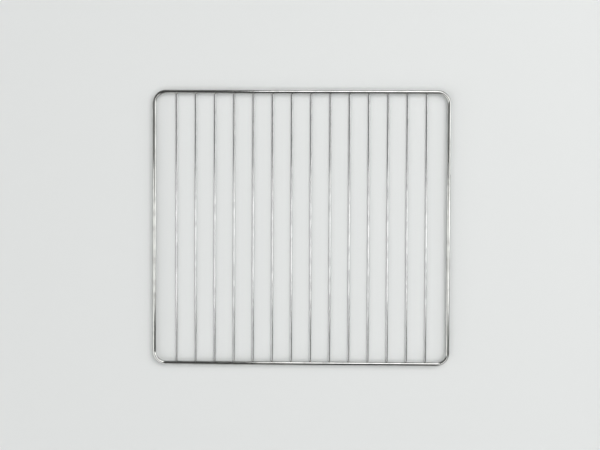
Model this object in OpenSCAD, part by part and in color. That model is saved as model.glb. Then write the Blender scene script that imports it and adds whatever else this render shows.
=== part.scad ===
// Wire rack: a bent rod frame with straight cross wires welded under its front and back runs.
// Millimetres. +X is right, +Y is the back, +Z is up. The origin lies under the middle of the rack.

/* [Frame] */
// Width over the outsides of the two side runs
frame_width = 317.8; // [240:0.2:420]
// Depth over the outsides of the front and back runs
frame_depth = 293.8; // [200:0.2:400]
// Diameter of the frame rod
rod_dia = 4; // [3:0.1:6]
// Radius on the inside of each corner bend
bend_inner_r = 10; // [6:0.5:19]

/* [Cross wires] */
// Number of cross wires
wire_count = 14; // [4:1:20]
// Diameter of a cross wire
wire_dia = 2; // [1.6:0.1:3]
// Distance from the centre of a side run to the centre of the nearest cross wire
side_gap = 23.5; // [16:0.25:40]
// Distance that a wire end stops short of the outside of the frame
end_setback = 0.5; // [0.2:0.05:0.7]
// Bevel round a wire end, where the shear rolled the edge over
end_bevel = 0.25; // [0.1:0.05:0.5]

/* [Welds] */
// Depth that the frame rod is pressed into a cross wire
weld_depth = 0.4; // [0.2:0.05:0.6]
// Distance that the squeezed metal swells past the side of a cross wire
bead_swell = 0.3; // [0.1:0.05:0.5]

/* [Smoothness] */
// Faces round the frame rod
rod_faces = 48; // [24:4:96]
// Faces round a cross wire and its weld beads
wire_faces = 32; // [16:4:64]

/* [Hidden] */
rod_r = rod_dia / 2;
wire_r = wire_dia / 2;
bend_r = bend_inner_r + rod_r;
bead_r = wire_r + bead_swell;

// Centre lines of the runs, from the middle of the rack
side_run_x = frame_width / 2 - rod_r;
end_run_y = frame_depth / 2 - rod_r;

// Heights: the wires rest on the ground plane and carry the frame
wire_z = wire_r;
rod_z = wire_dia - weld_depth + rod_r;
bead_z = wire_dia - weld_depth / 2;

// Lengths of the straight runs between the bends, and of a cross wire
end_run_length = 2 * (side_run_x - bend_r);
side_run_length = 2 * (end_run_y - bend_r);
wire_length = frame_depth - 2 * end_setback;

// Places of the cross wires, evenly spaced between the two side gaps
first_wire_x = side_gap - side_run_x;
wire_pitch = -2 * first_wire_x / (wire_count - 1);

// Quarter turns that face the bend towards each corner, starting at the back right
corners = [[1, 1], [-1, 1], [-1, -1], [1, -1]];

function wire_name(i) = str("cross_wire_", i < 10 ? "0" : "", i);
function wire_x(i) = first_wire_x + (i - 1) * wire_pitch;

// Straight run of frame rod along X, centred on the origin
module rod_run(length) {
    rotate([0, 90, 0])
        cylinder(h = length, d = rod_dia, center = true, $fn = rod_faces);
}

// Quarter bend of frame rod, from the +X side of its centre round to the +Y side
module rod_bend() {
    rotate_extrude(angle = 90, $fn = 2 * rod_faces)
        translate([bend_r, 0])
            circle(d = rod_dia, $fn = rod_faces);
}

// One of the two runs that the cross wires are welded to: side is 1 at the back, -1 at the front
module end_run(side) {
    translate([0, side * end_run_y, rod_z])
        rod_run(end_run_length);
}

// Left or right run, which slides on the oven's ledge: side is 1 at the right, -1 at the left
module side_run(side) {
    translate([side * side_run_x, 0, rod_z])
        rotate([0, 0, 90])
            rod_run(side_run_length);
}

// The whole frame is one rod, bent at four corners and closed by a flush butt weld
module frame() {
    color("silver")
        union() {
            for (side = [-1, 1]) {
                end_run(side);
                side_run(side);
            }
            for (turn = [0:3])
                translate([
                    corners[turn].x * (side_run_x - bend_r),
                    corners[turn].y * (end_run_y - bend_r),
                    rod_z
                ])
                    rotate([0, 0, 90 * turn])
                        rod_bend();
        }
}

// Straight wire along Y with a bevel round both ends
module bevelled_wire() {
    straight_length = wire_length - 2 * end_bevel;
    translate([0, 0, wire_z])
        rotate([90, 0, 0])
            union() {
                cylinder(h = straight_length, r = wire_r, center = true, $fn = wire_faces);
                for (side = [-1, 1])
                    translate([0, 0, side * straight_length / 2])
                        rotate([side > 0 ? 0 : 180, 0, 0])
                            cylinder(h = end_bevel, r1 = wire_r, r2 = wire_r - end_bevel, $fn = wire_faces);
            }
}

// Cross wire number i: the frame rod is pressed into both of its ends, which leaves a saddle and a bead
module cross_wire(i) {
    color("gainsboro")
        translate([wire_x(i), 0, 0])
            difference() {
                union() {
                    bevelled_wire();
                    for (side = [-1, 1])
                        translate([0, side * end_run_y, bead_z])
                            sphere(r = bead_r, $fn = wire_faces);
                }
                for (side = [-1, 1])
                    end_run(side);
            }
}

frame();
for (i = [1:wire_count])
    cross_wire(i);
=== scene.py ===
import math

import bpy
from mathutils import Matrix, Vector


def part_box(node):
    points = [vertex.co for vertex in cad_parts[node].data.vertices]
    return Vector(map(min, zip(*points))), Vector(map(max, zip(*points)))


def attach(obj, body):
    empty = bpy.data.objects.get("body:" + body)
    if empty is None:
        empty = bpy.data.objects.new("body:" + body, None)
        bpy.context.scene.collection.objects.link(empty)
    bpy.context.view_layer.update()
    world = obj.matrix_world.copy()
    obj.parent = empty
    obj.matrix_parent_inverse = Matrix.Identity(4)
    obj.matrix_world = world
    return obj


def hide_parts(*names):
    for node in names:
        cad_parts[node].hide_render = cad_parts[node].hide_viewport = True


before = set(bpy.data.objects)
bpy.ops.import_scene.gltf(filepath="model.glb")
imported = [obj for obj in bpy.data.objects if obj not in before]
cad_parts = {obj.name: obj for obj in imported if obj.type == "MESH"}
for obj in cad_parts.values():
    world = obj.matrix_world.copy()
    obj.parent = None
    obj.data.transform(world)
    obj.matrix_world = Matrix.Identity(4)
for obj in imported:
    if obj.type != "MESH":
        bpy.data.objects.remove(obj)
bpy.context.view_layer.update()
print("Packed rack loaded:", len(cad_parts), "pieces")


# Small helpers

def deselectAll():
    for thing in bpy.context.selected_objects:
        thing.select_set(False)


def toLinear(hexColour):
    # sRGB hex to the linear values that a shader wants
    values = [int(hexColour[i:i + 2], 16) / 255 for i in (1, 3, 5)]
    return tuple(v / 12.92 if v < 0.04045 else ((v + 0.055) / 1.055) ** 2.4 for v in values) + (1.0,)


def addNode(tree, kind, settings=None, links=None, values=None):
    # settings are the node's own options, values its input numbers, links its input sources
    node = tree.nodes.new(kind)
    for name, value in (settings or {}).items():
        setattr(node, name, value)
    for name, value in (values or {}).items():
        node.inputs[name].default_value = value
    for name, source in (links or {}).items():
        tree.links.new(source, node.inputs[name])
    return node


def selectOnly(piece):
    deselectAll()
    piece.select_set(True)
    bpy.context.view_layer.objects.active = piece


def settle(piece):
    # Puts the object's place into its mesh, so that the object sits at the origin
    selectOnly(piece)
    bpy.ops.object.transform_apply(location=True, rotation=True, scale=True)


def mergeDoubles(distance):
    # And turns every face outwards again, because merging can leave some turned in
    bpy.ops.mesh.select_all(action="SELECT")
    bpy.ops.mesh.remove_doubles(threshold=distance)
    bpy.ops.mesh.normals_make_consistent(inside=False)


# The frame rod: one round rod run along each side and spun through each corner

frameRod = {
    "diameter": 0.004,
    "bendRadius": 0.012,  # at the centre line of the rod
    "sides": 64,
    "ringSpacing": 0.005,
    "bendSteps": 20,
    "mergeDistance": 0.00001,
}

frameLow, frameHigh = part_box("frame")
rodRadius = frameRod["diameter"] / 2
sideRunX = frameHigh.x - rodRadius
endRunY = frameHigh.y - rodRadius
rodZ = (frameLow.z + frameHigh.z) / 2
halfRunX = sideRunX - frameRod["bendRadius"]
halfRunY = endRunY - frameRod["bendRadius"]


def makeFrameRod():
    deselectAll()
    bpy.ops.mesh.primitive_circle_add(
        vertices=frameRod["sides"], radius=rodRadius, fill_type="NOTHING",
        location=(sideRunX, -halfRunY, rodZ), rotation=(math.radians(90), 0, 0))
    rod = bpy.context.object
    rod.name = "frameRod"
    bpy.ops.object.mode_set(mode="EDIT")
    bpy.ops.mesh.select_all(action="SELECT")
    # direction of each run, its half length, and the corner that it leads into
    runs = [
        ((0, 1, 0), halfRunY, (halfRunX, halfRunY)),
        ((-1, 0, 0), halfRunX, (-halfRunX, halfRunY)),
        ((0, -1, 0), halfRunY, (-halfRunX, -halfRunY)),
        ((1, 0, 0), halfRunX, (halfRunX, -halfRunY)),
    ]
    for direction, halfLength, corner in runs:
        steps = round(2 * halfLength / frameRod["ringSpacing"])
        stride = Vector(direction) * (2 * halfLength / steps)
        for _ in range(steps):
            bpy.ops.mesh.extrude_region_move(TRANSFORM_OT_translate={"value": stride})
        bpy.ops.mesh.spin(
            steps=frameRod["bendSteps"], angle=-math.radians(90),
            center=(corner[0], corner[1], rodZ), axis=(0, 0, 1))
    mergeDoubles(frameRod["mergeDistance"])  # closes the ring on itself
    bpy.ops.object.mode_set(mode="OBJECT")
    bpy.ops.object.shade_smooth()
    settle(rod)
    return rod


rodPiece = makeFrameRod()
print("Frame rod bent:", len(rodPiece.data.vertices), "points")


# The cross wires: one is cut, rounded and saddled, then copied to every place

crossWire = {
    "diameter": 0.002,
    "sides": 48,
    "endRound": 0.00025,  # the shear rolls the edge over
    "endRoundSteps": 4,
    "beadSwell": 0.0003,
    "beadRings": 24,
    "weldDepth": 0.0004,
    "pressSides": 96,  # faces round the rod that presses the saddles
    "pressLength": 0.02,
    "smoothUpTo": 40,  # degrees between two faces
    "mergeDistance": 0.000002,
}

wireNames = sorted(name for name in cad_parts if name.startswith("cross_wire"))
wireRadius = crossWire["diameter"] / 2
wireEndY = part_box(wireNames[0])[1].y
weldZ = crossWire["diameter"] - crossWire["weldDepth"] / 2


def wireX(name):
    low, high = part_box(name)
    return (low.x + high.x) / 2


def applyBoolean(piece, other, operation):
    bpy.context.view_layer.objects.active = piece
    change = piece.modifiers.new("change", "BOOLEAN")
    change.operation = operation
    change.solver = "EXACT"
    change.object = other
    bpy.ops.object.modifier_apply(modifier="change")
    bpy.data.objects.remove(other)


def roundEnds(wire):
    # An edge of an end face has both its points at the same distance along the wire
    bpy.ops.object.mode_set(mode="EDIT")
    bpy.ops.mesh.select_mode(type="EDGE")
    bpy.ops.mesh.select_all(action="DESELECT")
    bpy.ops.object.mode_set(mode="OBJECT")
    points = wire.data.vertices
    for edge in wire.data.edges:
        first, second = edge.vertices
        edge.select = abs(points[first].co.y - points[second].co.y) < crossWire["mergeDistance"]
    bpy.ops.object.mode_set(mode="EDIT")
    bpy.ops.mesh.bevel(
        offset=crossWire["endRound"], segments=crossWire["endRoundSteps"], affect="EDGES")
    bpy.ops.object.mode_set(mode="OBJECT")


def addBead(wire, side):
    # Metal squeezed out at a weld
    bpy.ops.mesh.primitive_uv_sphere_add(
        segments=crossWire["sides"], ring_count=crossWire["beadRings"],
        radius=wireRadius + crossWire["beadSwell"],
        location=(0, side * endRunY, weldZ))
    applyBoolean(wire, bpy.context.object, "UNION")


def pressSaddle(wire, side):
    # A length of frame rod presses its own shape into the wire
    bpy.ops.mesh.primitive_cylinder_add(
        vertices=crossWire["pressSides"], radius=rodRadius, depth=crossWire["pressLength"],
        location=(0, side * endRunY, rodZ), rotation=(0, math.radians(90), 0))
    applyBoolean(wire, bpy.context.object, "DIFFERENCE")


def makeCrossWire():
    deselectAll()
    bpy.ops.mesh.primitive_cylinder_add(
        vertices=crossWire["sides"], radius=wireRadius, depth=2 * wireEndY,
        location=(0, 0, wireRadius), rotation=(math.radians(90), 0, 0))
    wire = bpy.context.object
    settle(wire)
    roundEnds(wire)
    for side in (-1, 1):
        addBead(wire, side)
    for side in (-1, 1):
        pressSaddle(wire, side)
    selectOnly(wire)
    bpy.ops.object.mode_set(mode="EDIT")
    mergeDoubles(crossWire["mergeDistance"])  # the cuts leave doubled points on the wire's own edges
    bpy.ops.object.mode_set(mode="OBJECT")
    bpy.ops.object.shade_smooth_by_angle(angle=math.radians(crossWire["smoothUpTo"]))
    return wire


def copyWires(pattern):
    wires = []
    for name in wireNames:
        wire = pattern.copy()
        wire.data = pattern.data.copy()
        wire.name = "wire" + name[-3:]
        bpy.context.scene.collection.objects.link(wire)
        wire.location = (wireX(name), 0, 0)
        settle(wire)
        wires.append(wire)
    bpy.data.objects.remove(pattern)
    return wires


wirePieces = copyWires(makeCrossWire())
print("Cross wires made:", len(wirePieces))


# A straightened space for the rod's finish, so that its drawn lines follow the bends: distance along
# the rod from the middle of the back run, distance outwards and height

quarterBend = math.pi / 2 * frameRod["bendRadius"]
rodLength = 4 * (halfRunX + halfRunY + quarterBend)


def alongRod(x, y):
    # Worked out in the back right quarter and then turned round to the others
    ax, ay = abs(x), abs(y)
    if ax > halfRunX and ay > halfRunY:
        swept = math.atan2(ax - halfRunX, ay - halfRunY)
        distance = halfRunX + frameRod["bendRadius"] * swept
        outwards = math.hypot(ax - halfRunX, ay - halfRunY) - frameRod["bendRadius"]
    elif ax > halfRunX:
        distance = halfRunX + quarterBend + halfRunY - ay
        outwards = ax - sideRunX
    else:
        distance = ax
        outwards = ay - endRunY
    if y < 0:
        distance = rodLength / 2 - distance
    if x < 0:
        distance = rodLength - distance
    return distance, outwards


def straightenRod(rod):
    # Written face by face, so that its only jump is at the closing weld, in the middle of the back run
    mesh = rod.data
    space = mesh.attributes.new("rodSpace", "FLOAT_VECTOR", "CORNER")
    for face in mesh.polygons:
        middle = alongRod(face.center.x, face.center.y)[0]
        for corner in face.loop_indices:
            point = mesh.vertices[mesh.loops[corner].vertex_index].co
            distance, outwards = alongRod(point.x, point.y)
            turns = round((middle - distance) / rodLength)
            space.data[corner].vector = (distance + turns * rodLength, outwards, point.z - rodZ)


straightenRod(rodPiece)


# Bright chromium plate on drawn steel rod that was barrel-polished first: a hard, nearly neutral mirror,
# streaked along the rod by the drawing die, with a faint orange peel and cloudy patches where the plate is
# thinner. It is duller and a little warmer round each weld, where it covers burnt steel

weldDulling = {
    "colour": "#a9a69f",
    "roughness": 0.3,
    "reach": (1.4, 3.4),  # mm from the middle of a weld: fully dull, and not dull any more
    "pimpleSize": 0.5,  # mm
    "pimpleHeight": 0.02,  # mm
}

rodChrome = {
    "colour": "#c3c4c1",  # chromium reflects a little over half of what it sees
    "thinColour": "#b2b3b0",
    "roughness": (0.04, 0.1),  # clear plate and cloudy plate
    "cloudSize": 18,  # mm
    "cloudEdge": (0.4, 0.64),  # share of the noise at which clear plate ends and cloudy plate is full
    "dieLine": (45, 0.5),  # mm along and across, three times the real width so that it shows
    "dieLineHeight": 0.002,  # mm
    "dieLineRoughness": 0.03,
    "peelSize": 1.6,  # mm
    "peelHeight": 0.002,  # mm
    "waveSize": (26, 4),  # mm along and across: what straightening left of the coil's bends
    "waveHeight": 0.02,  # mm
}

wireChrome = {
    "colour": "#cccdcd",
    "thinColour": "#babcbc",
    "roughness": (0.05, 0.1),
    "cloudSize": 14,
    "cloudEdge": (0.4, 0.64),
    "dieLine": (30, 0.3),
    "dieLineHeight": 0.001,
    "dieLineRoughness": 0.03,
    "peelSize": 1.2,
    "peelHeight": 0.0015,
    "waveSize": (20, 2),
    "waveHeight": 0.012,
    "tornDepth": 0.2,  # mm from the tip that the shear left torn
    "tornLine": (0.9, 0.12),  # mm down and across
    "tornHeight": 0.02,
    "tornRoughness": 0.34,
}

firstWireX = wireX(wireNames[0])
wirePitch = -2 * firstWireX / (len(wireNames) - 1)
millimetre = 0.001


def perMillimetre(size):
    return 1 / (size * millimetre)


def addWeldMask(tree, place):
    # 1 at a weld, falling to 0 a few millimetres from it
    parts = addNode(tree, "ShaderNodeSeparateXYZ", links={"Vector": place})
    fromFirst = addNode(
        tree, "ShaderNodeMath", {"operation": "SUBTRACT"}, {0: parts.outputs["X"]}, {1: firstWireX})
    sideways = addNode(
        tree, "ShaderNodeMath", {"operation": "PINGPONG"}, {0: fromFirst.outputs[0]}, {1: wirePitch / 2})
    fromMiddle = addNode(tree, "ShaderNodeMath", {"operation": "ABSOLUTE"}, {0: parts.outputs["Y"]})
    endways = addNode(
        tree, "ShaderNodeMath", {"operation": "SUBTRACT"}, {0: fromMiddle.outputs[0]}, {1: endRunY})
    upwards = addNode(
        tree, "ShaderNodeMath", {"operation": "SUBTRACT"}, {0: parts.outputs["Z"]}, {1: weldZ})
    fromWeld = addNode(tree, "ShaderNodeCombineXYZ", links={
        "X": sideways.outputs[0], "Y": endways.outputs[0], "Z": upwards.outputs[0]})
    distance = addNode(tree, "ShaderNodeVectorMath", {"operation": "LENGTH"}, {0: fromWeld.outputs[0]})
    full, gone = weldDulling["reach"]
    mask = addNode(tree, "ShaderNodeMapRange", {"interpolation_type": "SMOOTHSTEP"}, {
        "Value": distance.outputs["Value"]}, {
        "From Min": full * millimetre, "From Max": gone * millimetre, "To Min": 1, "To Max": 0})
    # the spacing rule would put one more weld in each corner, where there is none
    width = addNode(tree, "ShaderNodeMath", {"operation": "ABSOLUTE"}, {0: parts.outputs["X"]})
    among = addNode(tree, "ShaderNodeMath", {"operation": "LESS_THAN"}, {0: width.outputs[0]}, {
        1: wirePitch / 2 - firstWireX})
    welds = addNode(tree, "ShaderNodeMath", {"operation": "MULTIPLY"}, {
        0: mask.outputs["Result"], 1: among.outputs[0]})
    return welds.outputs[0]


def addTornMask(tree, place):
    # 0 along a wire, rising to 1 at its sheared tips
    parts = addNode(tree, "ShaderNodeSeparateXYZ", links={"Vector": place})
    fromMiddle = addNode(tree, "ShaderNodeMath", {"operation": "ABSOLUTE"}, {0: parts.outputs["Y"]})
    mask = addNode(tree, "ShaderNodeMapRange", links={"Value": fromMiddle.outputs[0]}, values={
        "From Min": wireEndY - wireChrome["tornDepth"] * millimetre,
        "From Max": wireEndY})
    return mask.outputs["Result"]


def addBump(tree, height, millimetres, below=None):
    links = {"Height": height}
    if below:
        links["Normal"] = below
    bump = addNode(tree, "ShaderNodeBump", links=links, values={"Distance": millimetres * millimetre})
    return bump.outputs["Normal"]


def addStretchedNoise(tree, space, along, size):
    # along is the number of the axis that the noise is drawn out on
    scale = [perMillimetre(size[1])] * 3
    scale[along] = perMillimetre(size[0])
    stretched = addNode(tree, "ShaderNodeMapping", links={"Vector": space}, values={"Scale": scale})
    noise = addNode(tree, "ShaderNodeTexNoise", links={"Vector": stretched.outputs[0]}, values={
        "Scale": 1, "Detail": 3})
    return noise.outputs["Fac"]


def addCloudiness(tree, space, settings):
    # 0 on clear plate, 1 where it is cloudy
    clouds = addNode(tree, "ShaderNodeTexNoise", links={"Vector": space}, values={
        "Scale": perMillimetre(settings["cloudSize"]), "Detail": 4, "Roughness": 0.55})
    clearEnd, cloudyStart = settings["cloudEdge"]
    cloudiness = addNode(tree, "ShaderNodeMapRange", {"interpolation_type": "SMOOTHSTEP"}, {
        "Value": clouds.outputs["Fac"]}, {"From Min": clearEnd, "From Max": cloudyStart})
    return cloudiness.outputs["Result"]


def addPlateColour(tree, cloudiness, welds, settings):
    plate = addNode(tree, "ShaderNodeMix", {"data_type": "RGBA"}, {0: cloudiness}, {
        6: toLinear(settings["colour"]), 7: toLinear(settings["thinColour"])})
    colour = addNode(tree, "ShaderNodeMix", {"data_type": "RGBA"}, {0: welds, 6: plate.outputs[2]}, {
        7: toLinear(weldDulling["colour"])})
    return colour.outputs[2]


def addPlateRoughness(tree, cloudiness, welds, dieLines, settings):
    clear, cloudy = settings["roughness"]
    plate = addNode(
        tree, "ShaderNodeMapRange", links={"Value": cloudiness}, values={"To Min": clear, "To Max": cloudy})
    lined = addNode(tree, "ShaderNodeMath", {"operation": "MULTIPLY_ADD"}, {
        0: dieLines, 2: plate.outputs["Result"]}, {1: settings["dieLineRoughness"]})
    roughness = addNode(tree, "ShaderNodeMix", {"data_type": "FLOAT"}, {0: welds, 2: lined.outputs[0]}, {
        3: weldDulling["roughness"]})
    return roughness.outputs[0]


def addPlateRelief(tree, space, place, waves, welds, dieLines, settings):
    peel = addNode(tree, "ShaderNodeTexNoise", links={"Vector": space}, values={
        "Scale": perMillimetre(settings["peelSize"]), "Detail": 1})
    pimples = addNode(tree, "ShaderNodeTexNoise", links={"Vector": place}, values={
        "Scale": perMillimetre(weldDulling["pimpleSize"]), "Detail": 2})
    weldPimples = addNode(
        tree, "ShaderNodeMath", {"operation": "MULTIPLY"}, {0: pimples.outputs["Fac"], 1: welds})
    normal = addBump(tree, waves, settings["waveHeight"])
    normal = addBump(tree, peel.outputs["Fac"], settings["peelHeight"], normal)
    normal = addBump(tree, dieLines, settings["dieLineHeight"], normal)
    return addBump(tree, weldPimples.outputs[0], weldDulling["pimpleHeight"], normal)


def addTornEnds(tree, place, roughness, normal, settings):
    torn = addTornMask(tree, place)
    tornLines = addStretchedNoise(tree, place, 2, settings["tornLine"])
    furrows = addNode(tree, "ShaderNodeMath", {"operation": "MULTIPLY"}, {0: tornLines, 1: torn})
    tornRoughness = addNode(tree, "ShaderNodeMix", {"data_type": "FLOAT"}, {0: torn, 2: roughness}, {
        3: settings["tornRoughness"]})
    return tornRoughness.outputs[0], addBump(tree, furrows.outputs[0], settings["tornHeight"], normal)


def makeChrome(name, settings, straightened):
    # A rod with bends has its own straightened space, with the rod along X. A straight wire runs along Y
    material = bpy.data.materials.new(name)
    material.use_nodes = True
    tree = material.node_tree
    tree.nodes.clear()
    place = addNode(tree, "ShaderNodeTexCoord").outputs["Object"]
    if straightened:
        space = addNode(tree, "ShaderNodeAttribute", {"attribute_name": "rodSpace"}).outputs["Vector"]
        axis = 0
    else:
        space = place
        axis = 1

    cloudiness = addCloudiness(tree, space, settings)
    dieLines = addStretchedNoise(tree, space, axis, settings["dieLine"])
    waves = addStretchedNoise(tree, space, axis, settings["waveSize"])
    welds = addWeldMask(tree, place)
    colour = addPlateColour(tree, cloudiness, welds, settings)
    roughness = addPlateRoughness(tree, cloudiness, welds, dieLines, settings)
    normal = addPlateRelief(tree, space, place, waves, welds, dieLines, settings)
    if "tornDepth" in settings:
        roughness, normal = addTornEnds(tree, place, roughness, normal, settings)

    shader = addNode(
        tree, "ShaderNodeBsdfPrincipled",
        links={"Base Color": colour, "Roughness": roughness, "Normal": normal}, values={"Metallic": 1.0})
    addNode(tree, "ShaderNodeOutputMaterial", links={"Surface": shader.outputs["BSDF"]})
    return material


def coat(piece, material):
    piece.data.materials.clear()
    piece.data.materials.append(material)


coat(rodPiece, makeChrome("chromePlatedRod", rodChrome, straightened=True))
wireMaterial = makeChrome("chromePlatedWire", wireChrome, straightened=False)
for piece in wirePieces:
    coat(piece, wireMaterial)
print("Chrome plated")

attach(rodPiece, "root")
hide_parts("frame")
for piece, name in zip(wirePieces, wireNames):
    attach(piece, "root")
    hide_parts(name)


# Floor: a matt painted board, plain and pale, which fades into the room round it so that it has no edge

floorSettings = {
    "colour": "#e0e2e1",
    "roughness": 0.9,
    "fade": (1.2, 3.5),  # m from the middle: where it starts to fade and where it is gone
}


def makeFloor():
    deselectAll()
    bpy.ops.mesh.primitive_plane_add(size=2 * floorSettings["fade"][1], location=(0, 0, 0))
    floor = bpy.context.object
    floor.name = "floor"
    material = bpy.data.materials.new("mattPaintedBoard")
    material.use_nodes = True
    tree = material.node_tree
    tree.nodes.clear()
    place = addNode(tree, "ShaderNodeTexCoord").outputs["Object"]
    distance = addNode(tree, "ShaderNodeVectorMath", {"operation": "LENGTH"}, {0: place})
    start, end = floorSettings["fade"]
    fade = addNode(tree, "ShaderNodeMapRange", {"interpolation_type": "SMOOTHSTEP"}, {
        "Value": distance.outputs["Value"]}, {"From Min": start, "From Max": end, "To Min": 1, "To Max": 0})
    shader = addNode(tree, "ShaderNodeBsdfPrincipled", links={"Alpha": fade.outputs["Result"]}, values={
        "Base Color": toLinear(floorSettings["colour"]), "Roughness": floorSettings["roughness"]})
    addNode(tree, "ShaderNodeOutputMaterial", links={"Surface": shader.outputs["BSDF"]})
    floor.data.materials.append(material)


makeFloor()
print("Floor laid")


# Light: soft panels overhead. Their edges are distances from the middle of the rack per unit of height

panelHeight = 2.5  # m
softPanels = {
    "leftPanel": {"x": (-6.0, -0.3), "y": (-4.0, 0.045), "strength": 1.5},
    "backLeftPanel": {"x": (-6.0, -2.0), "y": (0.045, 3.4), "strength": 0.8},
    "backPanel": {"x": (-0.09, 0.75), "y": (0.205, 2.0), "strength": 2.5},
    "rightPanel": {"x": (0.75, 6.0), "y": (-0.2, 1.1), "strength": 2.5},
    "rightStripPanel": {"x": (0.2, 0.75), "y": (-0.15, 0.0), "strength": 2.0},
    "frontPanel": {"x": (0.22, 1.0), "y": (-1.0, -0.33), "strength": 2.0},
}


def addPanel(name, panel):
    (x0, x1), (y0, y1) = panel["x"], panel["y"]
    light = bpy.data.lights.new(name, "AREA")
    light.shape = "RECTANGLE"
    light.size = (x1 - x0) * panelHeight
    light.size_y = (y1 - y0) * panelHeight
    light.energy = panel["strength"] * math.pi * light.size * light.size_y
    lamp = bpy.data.objects.new(name, light)
    lamp.location = ((x0 + x1) / 2 * panelHeight, (y0 + y1) / 2 * panelHeight, panelHeight)
    bpy.context.scene.collection.objects.link(lamp)


for name, panel in softPanels.items():
    addPanel(name, panel)
print("Panels hung:", len(softPanels))


# Room round the panels: dim overhead, pale at eye level

room = {
    "overhead": 0.1,
    "eyeLevel": 0.8,
    "paleUpTo": 0.06,  # rise per unit of distance at which the paleness ends
}


def makeRoom():
    world = bpy.data.worlds.new("studio")
    bpy.context.scene.world = world
    world.use_nodes = True
    tree = world.node_tree
    tree.nodes.clear()
    direction = addNode(tree, "ShaderNodeTexCoord").outputs["Generated"]
    parts = addNode(tree, "ShaderNodeSeparateXYZ", links={"Vector": direction})
    strength = addNode(tree, "ShaderNodeMapRange", {"interpolation_type": "SMOOTHSTEP"}, {
        "Value": parts.outputs["Z"]}, {
        "From Max": room["paleUpTo"], "To Min": room["eyeLevel"], "To Max": room["overhead"]})
    background = addNode(
        tree, "ShaderNodeBackground", links={"Strength": strength.outputs["Result"]},
        values={"Color": (1, 1, 1, 1)})
    addNode(tree, "ShaderNodeOutputWorld", links={"Surface": background.outputs[0]})


makeRoom()


# Camera: straight over the rack, as the photograph was taken

cameraSettings = {
    "place": (0.02632, 0.04545, 1.3),  # m
    "turn": (-0.03237, 0.02128, 0.00421),  # radians about X, Y and Z
    "focalPixels": 1215.8,  # focal length in pixels of the picture
    "imageWidth": 600,  # pixels
}


def makeCamera():
    cameraData = bpy.data.cameras.new("overhead")
    cameraData.lens = cameraSettings["focalPixels"] * cameraData.sensor_width / cameraSettings["imageWidth"]
    camera = bpy.data.objects.new("overhead", cameraData)
    camera.location = cameraSettings["place"]
    camera.rotation_euler = cameraSettings["turn"]
    bpy.context.scene.collection.objects.link(camera)
    bpy.context.scene.camera = camera


makeCamera()
bpy.context.scene.view_settings.view_transform = "Standard"

print("Scene ready")
